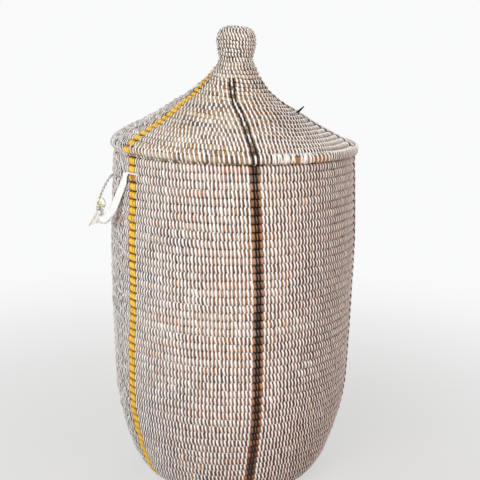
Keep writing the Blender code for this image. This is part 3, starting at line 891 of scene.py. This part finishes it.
def stitchUp(label, winding, rows, stripes={}, bands=(99,)):
    # lays every stitch of the rows in its book; bands is the last row of each white piece
    onLid, form = winding is lidWinding, laceForm
    for row in rows:
        *_, pitch, radius = winding.place(winding.turnsAt(row, 0.0))
        mark = winding.markAt(row + 0.5)
        height = winding.profile.at(mark)[1]
        level = mark - knobLength if onLid else height
        azimuths = [(readTable(table, level), colour) for colour, table in stripes.values()]
        azimuths = [
            (wrapped(a + (chance.gauss(0, stripeForm["wander"]) if colour == "yellow" else 0)), colour)
            for a, colour in azimuths
        ]
        yellows = [a for a, colour in azimuths if colour == "yellow"]
        band = next(i for i, last in enumerate(bands) if row <= last)
        rowTone = chance.uniform(-form["rowTone"], form["rowTone"])
        spacing = float(np.interp(radius, *form["lidSpacing"])) if onLid else form["spacing"]
        laid = stitchRow(winding, row, azimuths, max(radius, 0.006), spacing)
        lastRow = onLid and row == winding.rows - 1
        if lastRow:
            first, last = rimSpells[0][0], rimSpells[-1][1]
            laid = [(a, colour) for a, colour in laid if colour != "white" or not first < a < last]
            layRim(label, row, radius)
        for azimuth, colour in laid:
            isWhite = colour == "white"
            jitter = chance.gauss(0, form["jitter"]) * spacing / max(radius, 0.02)
            q = winding.turnsAt(row, azimuth + math.degrees(jitter) * isWhite)
            if q < form["ends"][0] or q > winding.rows - form["ends"][1]:
                continue
            missing = any(row == spot and low < azimuth < high for spot, low, high in bareSpots)
            if label == "wall" and missing:
                continue
            tone = min(1.0, max(0.0, chance.gauss(*form["tone"]) + rowTone))
            width = strandForm[colour] * (1.0 if colour == "yellow" else chance.uniform(*form["widths"]))
            right = rightShare(azimuth)
            if isWhite:
                width *= min(1.0, spacing / form["spacing"])
                if label in ("crown", "wall"):
                    top, fade = form["footFade"]
                    foot = 0 if onLid else form["footFiner"] * smoothStep((top - height) / fade)
                    width *= 1 - form["rightFiner"] * right - foot
                    if label == "crown" and row < topRows:
                        width *= form["topFiner"]
                if chance.random() < form["broad"][0]:
                    width *= form["broad"][1]
            lift = form["lift"][colour] + chance.uniform(*form["liftSpread"])
            lean, tall, drop = 0.0, 1.0, 0.0
            key = (label, colour, band if isWhite else 0)
            if isWhite and lastRow:
                key = (label, "rim", 0)
                bare = form["rimBare"][0] < azimuth < form["rimBare"][1]
                low, high, full = form["rimReach"]
                reach = chance.uniform(low, high) if bare else full
                tall, drop = 1 + reach / pitch, reach * 500  # drops by half the reach, in millimetres
                lift += form["rimLift"] * (1 - bare)
            elif isWhite:
                drop = chance.uniform(0.0, form["drop"])
                less = form["shorter"][0] if onLid else form["shorter"][1] * right
                tall = chance.uniform(*form["tall"]) - less
                if onLid and abs(row - knobRows) <= 1:
                    tall += form["neckTaller"]
            start, fade, end, endFade = form["looseSide"]
            loose = smoothStep((start - azimuth) / fade) * smoothStep((azimuth - end) / endFade)
            if loose > 0 and isWhite:
                lean = loose * chance.gauss(*form["looseLean"])
                lift += loose * chance.uniform(*form["looseLift"])
                width *= 1 - form["looseFiner"] * loose * chance.random()
                tone = tone * (1 - loose) + loose * chance.random()
                tall += form["looseTaller"] * loose
            if colour == "black" and onLid:
                lean = chance.gauss(*form["blackLid"][:2])
                width *= form["blackLid"][2]
            if colour == "yellow":
                lean = chance.gauss(*form["yellowLean"])
                width *= chance.uniform(*form["yellowWidths"])
                if min(abs(wrapped(azimuth - line)) for line in yellows) > 0.5:
                    tall, lift = form["yellowOuter"][0], lift - form["yellowOuter"][1]
            book(*key).add(winding, q, width, tone, lean, lift, tall, drop)
            wider = form["insideWider"] if isWhite else 1.0
            book(label, "inside", band).add(winding, q, width * wider, tone)


print("stage: basket")
rimTurns, wallTurns = (basketWinding.turnsAt(row, -120.0) for row in (0, wallRows - 1))
woundBundle("rimGrass", basketWinding, -0.3, rimTurns, grass, 0.0, wallRust)
woundBundle("wallGrass", basketWinding, rimTurns, wallTurns, grass, 1.5, wallRust)
woundBundle("baseGrass", basketWinding, wallTurns, basketWinding.rows - 0.12, grass, 60.0)
stitchUp("wall", basketWinding, range(-1, wallRows), wallStripes, (9, 18, 27, 36, wallRows))
stitchUp("base", basketWinding, range(wallRows, basketWinding.rows))

print("stage: lid")
topRows = knobRows + stripeForm["lidRowsAbove"]
lidRimTurns = lidWinding.rows - 2 + flatShare
neckTurns = lidWinding.turnsAt(knobRows - 1, 170.0)
woundBundle("knobGrass", lidWinding, 0.2, neckTurns, knobGrass, 3.0)
woundBundle("crownGrass", lidWinding, neckTurns, lidRimTurns, lidGrass, 5.0)
woundBundle("lidRimGrass", lidWinding, lidRimTurns, lidWinding.rows - 0.03, lidGrass, 40.0, lidRust)
stitchUp("knob", lidWinding, range(0, knobRows))
stitchUp("crown", lidWinding, range(knobRows, topRows))
stitchUp("crown", lidWinding, range(topRows, lidWinding.rows), lidStripes)

bandForm = {
    "radius": 0.1985, "low": 0.0003, "high": 0.0092, "depthShare": 0.86, "steps": 150,
    "covered": (  # (from, to, spacing, share) of the white stitches that reach over the band
        (-118.0, -54.0, 0.0042, 1.0), (-49.0, 14.0, 0.0061, 0.5), (14.0, 242.0, 0.0061, 0.85),
    ),
}
collarForm = {"radius": 0.1866, "drop": 0.0122, "top": 0.0172, "rows": 3, "depthShare": 0.92}


class BandRing:
    # the bare band under the lid's last row, as one closed row
    depthShare = bandForm["depthShare"]

    def place(self, q):
        size = bandForm["high"] - bandForm["low"]
        a = 2 * math.pi * q
        out, along = Vector((math.sin(a), -math.cos(a), 0)), Vector((math.cos(a), math.sin(a), 0))
        middle = bandForm["radius"] - size * bandForm["depthShare"] / 2
        point = out * middle + Vector((0, 0, seatHeight + bandForm["low"] + size / 2))
        return point, out, Vector((0, 0, -1)), along, size, middle


bandRing, steps = BandRing(), bandForm["steps"]
points, outward, _, _, sizes, _ = zip(*[bandRing.place(i / steps) for i in range(steps)])
along = [2 * math.pi * bandForm["radius"] * i / steps for i in range(steps)]
bundle("lidSeatBand", points, outward, sizes, along, [0.0] * steps, bandRing.depthShare, oliveGrass, True)
for low, high, gap, share in bandForm["covered"]:
    count = round((high - low) / roughRadian * bandForm["radius"] / gap)
    for i in range(count):
        if chance.random() > share:
            continue
        book("lidBand", "white", 0).add(
            bandRing, (low + (high - low) * i / count) / 360,
            strandForm["white"] * chance.uniform(0.7, 1.1), chance.random(), lean=chance.gauss(0.1, 0.2),
            lift=chance.uniform(1.2, 2.6), tall=1.15, drop=0.7
        )
collarTall = collarForm["drop"] + collarForm["top"]
collarLine = np.array([(collarForm["radius"], collarForm["top"] - collarTall * i / 30) for i in range(31)])
collarEnds = rowEnds(collarTall, collarTall / collarForm["rows"])
collarProfile = Profile(collarLine, seatHeight)
collarWinding = Winding(collarProfile, collarEnds, -1, collarForm["depthShare"], endRing=True, uneven=0.0)
woundBundle("lidCollarGrass", collarWinding, -0.3, collarForm["rows"] - 0.03, lidGrass, 90.0)
stitchUp("lidCollar", collarWinding, range(0, collarForm["rows"]))

for (label, colour, band), pages in sorted(books.items()):
    name = f"{label}{colour.capitalize()}Stitches{band}"
    paint = "white" if colour in ("inside", "rim") else colour
    shape = "lid" if label in ("crown", "knob") and colour == "white" else colour
    pages.make(name, paint, stitchShapes[shape], len(name) + band)
    print(name, len(pages.points), sum(len(p.vertices) - 2 for p in pieces[name].data.polygons))
for helper in stitchShapes.values():
    bpy.data.objects.remove(helper, do_unlink=True)

# Side loop: one plastic strip that leaves the wall at two places and hangs as a U
loopForm = {
    "front": (0.19934, -55.6, 0.52593),  # radius, azimuth and height where it leaves the wall
    "rear": (0.19977, -76.0, 0.51344), "depth": 0.080, "strand": 0.0042, "band": 0.0125,
    "thickness": 0.0006, "crinkle": 0.0006, "faceAzimuth": -15.0, "twists": 6.5,
    "line": (  # shares: chord, out, down, then of the change of width, of the facing and of the twists
        (0.000, 0.000, 0.000, 0.30, 0.00, 0.0), (0.000, 0.055, 0.035, 0.70, 0.20, 0.0),
        (0.005, 0.075, 0.095, 0.82, 0.40, 0.0), (0.035, 0.098, 0.205, 0.88, 0.55, 0.0),
        (0.085, 0.130, 0.315, 0.92, 0.68, 0.0), (0.180, 0.174, 0.490, 0.96, 0.80, 0.0),
        (0.290, 0.232, 0.672, 1.00, 0.85, 0.0), (0.400, 0.290, 0.811, 1.00, 1.00, 0.0),
        (0.500, 0.350, 0.895, 0.95, 1.00, 0.0), (0.585, 0.395, 0.880, 0.72, 0.90, 0.02),
        (0.660, 0.418, 0.790, 0.40, 0.70, 0.06), (0.740, 0.430, 0.690, 0.15, 0.40, 0.16),
        (0.820, 0.406, 0.566, 0.00, 0.20, 0.34), (0.870, 0.354, 0.467, 0.00, 0.10, 0.48),
        (0.910, 0.302, 0.357, 0.00, 0.00, 0.62), (0.945, 0.240, 0.248, 0.00, 0.00, 0.75),
        (0.975, 0.166, 0.134, 0.00, 0.00, 0.88), (0.990, 0.100, 0.052, 0.00, 0.00, 0.96),
        (0.998, 0.050, 0.010, 0.00, 0.00, 0.98), (1.000, 0.000, 0.000, 0.00, 0.00, 1.0),
    ),
    "tie": (  # yellow-green strip across the strand
        (0.800, 0.457, 0.424), (0.770, 0.424, 0.479), (0.755, 0.384, 0.551), (0.770, 0.327, 0.624),
        (0.800, 0.269, 0.663),
    ),
    "curl": (  # thin end that curls beside the knot
        (0.820, 0.385, 0.452), (0.780, 0.345, 0.462), (0.765, 0.300, 0.505), (0.770, 0.275, 0.570),
        (0.790, 0.275, 0.630), (0.810, 0.305, 0.680),
    ),
    "wraps": (  # (place, turns, radius, colour, darkening)
        (0.605, 1.2, 0.0030, "lime", 0.0), (0.585, 2.2, 0.0027, "loopWhite", 0.5),
    ),
    "tailLeft": (
        (0.805, 0.392, 0.585), (0.805, 0.425, 0.657), (0.815, 0.476, 0.777), (0.835, 0.534, 0.896),
        (0.855, 0.612, 1.036)
    ),
    "tailRight": (
        (0.800, 0.360, 0.590), (0.795, 0.312, 0.650), (0.800, 0.290, 0.745), (0.820, 0.318, 0.862),
        (0.850, 0.352, 0.972)
    ),
    "tailPleat": 0.0003,
    "shadedUnderside": (  # grey strip under the band's bend, painted shade for the band's shaded underside
        (0.500, 0.452, 0.955), (0.480, 0.415, 0.985), (0.440, 0.350, 0.985), (0.390, 0.290, 0.935),
        (0.340, 0.245, 0.860),
    ),
}


def wallPlace(radius, azimuth, height):
    a = math.radians(azimuth)
    return Vector((radius * math.sin(a), -radius * math.cos(a), height))


loopStart, loopEnd = wallPlace(*loopForm["front"]), wallPlace(*loopForm["rear"])
loopChord = loopEnd - loopStart
loopOut = wallPlace(1, (loopForm["front"][1] + loopForm["rear"][1]) / 2, 0)
loopFacing = wallPlace(1, loopForm["faceAzimuth"], 0)
towardsFront = -loopChord.normalized()


def loopPlace(along, out, down):
    return loopStart + loopChord * along + (loopOut * out - Vector((0, 0, down))) * loopForm["depth"]


def crinkled(across, along):
    slow, quick = math.sin(7 * across + 31 * along), math.sin(13 * across - 47 * along + 1)
    return slow + 0.7 * quick + 0.5 * math.sin(83 * along)


def stripRails(stations, columns=3, crinkle=0.0, twists=0.0, steps=6):
    # rows of points across a strip; stations are (x, y, z, width, facing x, y, z, share of the twists)
    line = smoothLine(stations, steps)
    rails, normals = [], []
    for i, here in enumerate(line):
        way = Vector(line[min(i + 1, len(line) - 1)][:3] - line[max(i - 1, 0)][:3]).normalized()
        side = way.cross(Vector(here[4:7])).normalized()
        side.rotate(Matrix.Rotation(2 * math.pi * twists * here[7], 3, way))
        face = side.cross(way)
        flat = here[3] / loopForm["band"]
        rail = []
        for across in (2 * j / (columns - 1) - 1 for j in range(columns)):
            pleat = crinkle * flat * crinkled(across, i / len(line))
            rail.append(Vector(here[:3]) + side * (across * here[3] / 2) + face * pleat)
        rails.append(rail)
        normals.append(face)
    return rails, normals


def slab(name, rails, normals, colour, dark=lambda along: 0.0, tintAt=None, thick=loopForm["thickness"]):
    # closed strip with its rows of points on both faces
    made = bmesh.new()
    top, under = [], []
    for side, face in ((0.5, top), (-0.5, under)):
        for rail, out in zip(rails, normals):
            face.append([made.verts.new(point + out * (thick * side)) for point in rail])
    rows, columns = len(rails), len(rails[0])
    for i in range(rows - 1):
        for j in range(columns - 1):
            made.faces.new((top[i][j], top[i + 1][j], top[i + 1][j + 1], top[i][j + 1]))
            made.faces.new((under[i][j], under[i][j + 1], under[i + 1][j + 1], under[i + 1][j]))
        for j in (0, columns - 1):
            made.faces.new((top[i][j], under[i][j], under[i + 1][j], top[i + 1][j]))
    for i in (0, rows - 1):
        for j in range(columns - 1):
            made.faces.new((top[i][j], top[i][j + 1], under[i][j + 1], under[i][j]))
    mesh = closedMesh(name, made)
    mesh.shade_smooth()
    mesh.set_sharp_from_angle(angle=math.radians(50))
    spots = [2 * j / (columns - 1) - 1 for j in range(columns)]
    places = [(i / (rows - 1), across) for _ in range(2) for i in range(rows) for across in spots]
    # the edge values are painted shade: at the strip's sides, and as much more as dark gives
    for label, values in (
        ("tone", [0.9 + 0.3 * math.sin(57 * along + 3 * across) for along, across in places]),
        ("edge", [min(1.0, max(0.0, abs(across) ** 4 * 0.3 + dark(along))) for along, across in places]),
        ("tint", [tintAt(*place) if tintAt else 0.0 for place in places])
    ):
        mesh.attributes.new(label, "FLOAT", "POINT").data.foreach_set("value", values)
    mesh.materials.append(looks[colour])
    pieces[name] = shown(name, mesh)


loopStations = [
    (
        *loopPlace(*place), loopForm["strand"] + (loopForm["band"] - loopForm["strand"]) * wide,
        *loopOut.lerp(loopFacing, turned), twisted
    )
    for *place, wide, turned, twisted in loopForm["line"]
]
rails = stripRails(loopStations, 9, loopForm["crinkle"], loopForm["twists"], steps=9)
# painted shade: the twisted strand past the band is greyed for the shade in its twists
slab("sideLoopStrip", *rails, "loopWhite", lambda along: 0.75 * smoothStep((along - 0.5) / 0.12))
# dark is painted shade: the curl and the strip under the band's bend are greyed for the shade they lie in;
# the tie keeps its colour
for name, key, width, colour, twists, dark in (
    ("loopTie", "tie", 0.0026, "lime", 0.15, 0.0), ("loopCurl", "curl", 0.0015, "loopWhite", 1.2, 0.8),
    ("loopFold", "shadedUnderside", 0.0017, "loopWhite", 0.8, 0.8)
):
    last = len(loopForm[key]) - 1
    places = enumerate(loopForm[key])
    stations = [(*loopPlace(*place), width, *towardsFront, i / last) for i, place in places]
    slab(name, *stripRails(stations, twists=twists), colour, lambda along: dark)
strand = smoothLine([station[:3] for station in loopStations], 20)
for i, (place, turns, radius, colour, dark) in enumerate(loopForm["wraps"]):
    k = round(place * (len(strand) - 1))
    way = Vector(strand[k + 6] - strand[k - 6]).normalized()
    side = way.cross(towardsFront).normalized()
    stations = []
    for step in range(round(turns * 10) + 1):
        a = 2 * math.pi * step / 10
        out = side * math.cos(a) + side.cross(way) * math.sin(a)
        point = Vector(strand[k]) + out * radius + way * (0.0026 * (a / 2 / math.pi - turns / 2))
        stations.append((*point, 0.0021, *out, 0.0))
    slab(f"loopWrap{i}", *stripRails(stations, steps=2), colour, lambda along: dark)

edges = [smoothLine([loopPlace(*place) for place in loopForm[key]], 6) for key in ("tailLeft", "tailRight")]
rails = []
for i, (a, b) in enumerate(zip(*edges)):
    along = i / (len(edges[0]) - 1)
    rail = []
    for across in (j / 12 for j in range(13)):
        waves = math.sin(11 * across + 2 * along) + 0.6 * math.sin(23 * across - 5 * along)
        pleat = loopForm["tailPleat"] * smoothStep(along * 2) * waves
        rail.append(Vector(a).lerp(Vector(b), across) + towardsFront * pleat)
    rails.append(rail)


# the tail's painted edge shade: taken off most of it, and darker towards the knot
def tailEdgeShade(along):
    return -0.3 + 0.5 * smoothStep(1 - 4 * along)


def tailTint(along, across):
    return smoothStep(along * 4 - 3) * smoothStep(-across * 2 - 0.6) * 0.8


slab("loopTail", rails, [towardsFront] * len(rails), "loopWhite", tailEdgeShade, tailTint)

# Loose end of black strip that sticks up from the lid's right-hand stripe
looseForm = {
    "places": (  # x, y, z and width
        (0.0988, -0.0413, 0.6180, 0.0042), (0.1010, -0.0422, 0.6186, 0.0040),
        (0.1036, -0.0433, 0.6206, 0.0034), (0.1068, -0.0446, 0.6240, 0.0026),
        (0.1102, -0.0462, 0.6274, 0.0018),
    ),
    "thickness": 0.0009,
}
places = enumerate(looseForm["places"])
stations = [(*place, 0.6 - 0.12 * i, -0.5 - 0.12 * i, 0.6 - 0.1 * i, i / 4) for i, place in places]
rails = stripRails(stations, twists=0.1, steps=4)
slab("lidLooseEnd", *rails, "black", thick=looseForm["thickness"])

# Thin strips that lie loose on the wall's left side
strayForm = {
    "width": 0.0013, "proud": 0.0012,
    "lines": (  # (azimuth, height) of each end
        ((-71.5, 0.4140), (-61.0, 0.4060), (-54.8, 0.3985)),
        ((-79.0, 0.3075), (-68.0, 0.2930), (-59.0, 0.2860)),
        ((-74.0, 0.4760), (-70.0, 0.4640), (-64.5, 0.4590)),
    ),
}
for i, line in enumerate(strayForm["lines"]):
    stations = []
    for azimuth, height in smoothLine(line, 5):
        radius = float(np.interp(height, wallLine[::-1, 1], wallLine[::-1, 0])) + strayForm["proud"]
        point, out = wallPlace(radius, azimuth, height), wallPlace(1, azimuth, 0)
        stations.append((*point, strayForm["width"], *out, 0.0))
    slab(f"strayStrip{i}", *stripRails(stations, steps=2), "loopWhite")
print("stage: loop")

# Riding and replacing
for name, piece in pieces.items():
    body = "lid" if name.startswith(("crown", "lid", "knob")) else "loop" if "oop" in name else "basket"
    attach(piece, body)
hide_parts("rim_coil")
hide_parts("wall_coil")
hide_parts("base_coil")
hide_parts("lid_crown_coil")
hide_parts("lid_rim_coil")
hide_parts("knob_coil")
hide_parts("lid_collar_coil")
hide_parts("side_loop")
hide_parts("loop_tail")
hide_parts("loop_binding")
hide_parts("loose_strip_end")
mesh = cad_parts["loop_anchor_strip"].data
mesh.materials.clear()
mesh.materials.append(looks["loopWhite"])
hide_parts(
    "wall_stripe_front_black", "wall_stripe_right_black",
    "wall_stripe_rear_black"
)
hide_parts("wall_stripe_left_yellow", "wall_stripe_rear_yellow")
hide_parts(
    "lid_stripe_front_black", "lid_stripe_right_black",
    "lid_stripe_rear_black"
)
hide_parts("lid_stripe_left_yellow", "lid_stripe_rear_yellow")

# Floor, lights, camera
stageForm = {
    "floor": (0.42, 0.415, 0.405), "backdrop": (0.95, 0.953, 0.955),
    "fade": (0.22, 1.5),  # the floor turns into the backdrop between these distances
    "fadeFrom": 0.62, "keyPower": 60.0, "fillPower": 33.0, "backPower": 22.0, "worldLight": 0.38,
}
corners = [(x, y, -0.0006) for x, y in ((-9, -9), (9, -9), (9, 9), (-9, 9))]
mesh = bpy.data.meshes.new("floor")
mesh.from_pydata(corners, [], [(0, 1, 2, 3)])
floor = shown("floor", mesh)
paint = Paint("paleFloor")
paint.fill(paint.shader.inputs["Base Color"], stageForm["floor"])
paint.shader.inputs["Roughness"].default_value = 0.9
glow = paint.node("ShaderNodeEmission", Color=(*stageForm["backdrop"], 1), Strength=1.0)
away = paint.node("ShaderNodeVectorMath", operation="LENGTH")
paint.fill(away.inputs[0], paint.place())
fade = paint.node("ShaderNodeMapRange", interpolation_type="SMOOTHSTEP")
near, far = stageForm["fade"]
distance = away.outputs["Value"]
values = {"Value": distance, "From Min": near, "From Max": far, "To Min": stageForm["fadeFrom"]}
for label, value in values.items():
    paint.fill(fade.inputs[label], value)
paint.seenAs(paint.shader.outputs[0], glow.outputs[0], "Material Output", fade.outputs["Result"])
mesh.materials.append(paint.data)

paint = Paint("studio", "worlds")
bpy.context.scene.world = paint.data
ground = paint.tree.nodes["Background"]
ground.inputs["Color"].default_value = (1.0, 0.96, 0.93, 1)
ground.inputs["Strength"].default_value = stageForm["worldLight"]
glow = paint.node("ShaderNodeBackground", Color=(*stageForm["backdrop"], 1), Strength=1.0)
paint.seenAs(ground.outputs[0], glow.outputs[0], "World Output")


def softBox(name, place, target, size, power, colour):
    lamp = bpy.data.lights.new(name, "AREA")
    lamp.size, lamp.energy, lamp.color = size, power, colour
    made = shown(name, lamp)
    made.location = place
    made.rotation_euler = (Vector(target) - Vector(place)).to_track_quat("-Z", "Y").to_euler()


softBox("windowLight", (-1.2, -2.2, 1.7), (0, 0, 0.35), 1.7, stageForm["keyPower"], (1.0, 0.995, 0.985))
softBox("backLight", (0.5, 2.4, 1.1), (0, 0, 0.35), 1.5, stageForm["backPower"], (1.0, 0.97, 0.94))
softBox("fillLight", (2.0, -1.8, 0.3), (0, 0, 0.2), 1.3, stageForm["fillPower"], (1.0, 0.68, 0.54))

frameWidth = 480
cameraForm = {"back": 1.596, "above": 0.197, "pitch": 12.43, "roll": 0.92, "focal": 960.3, "shift": 6.98}
camera = shown("camera", bpy.data.cameras.new("camera"))
camera.data.sensor_width = 36
camera.data.lens = cameraForm["focal"] * 36 / frameWidth
camera.data.shift_x = cameraForm["shift"] / frameWidth
pitch, roll = math.radians(cameraForm["pitch"]), math.radians(cameraForm["roll"])
forward = Vector((0, math.cos(pitch), -math.sin(pitch)))
right, up = Vector((1, 0, 0)), Vector((0, math.sin(pitch), math.cos(pitch)))
right, up = right * math.cos(roll) + up * math.sin(roll), up * math.cos(roll) - right * math.sin(roll)
turn = Matrix((right, up, -forward)).transposed().to_4x4()
turn.translation = (0, -cameraForm["back"], seatHeight + cameraForm["above"])
camera.matrix_world = turn
bpy.context.scene.camera = camera
bpy.context.scene.view_settings.view_transform = "Standard"
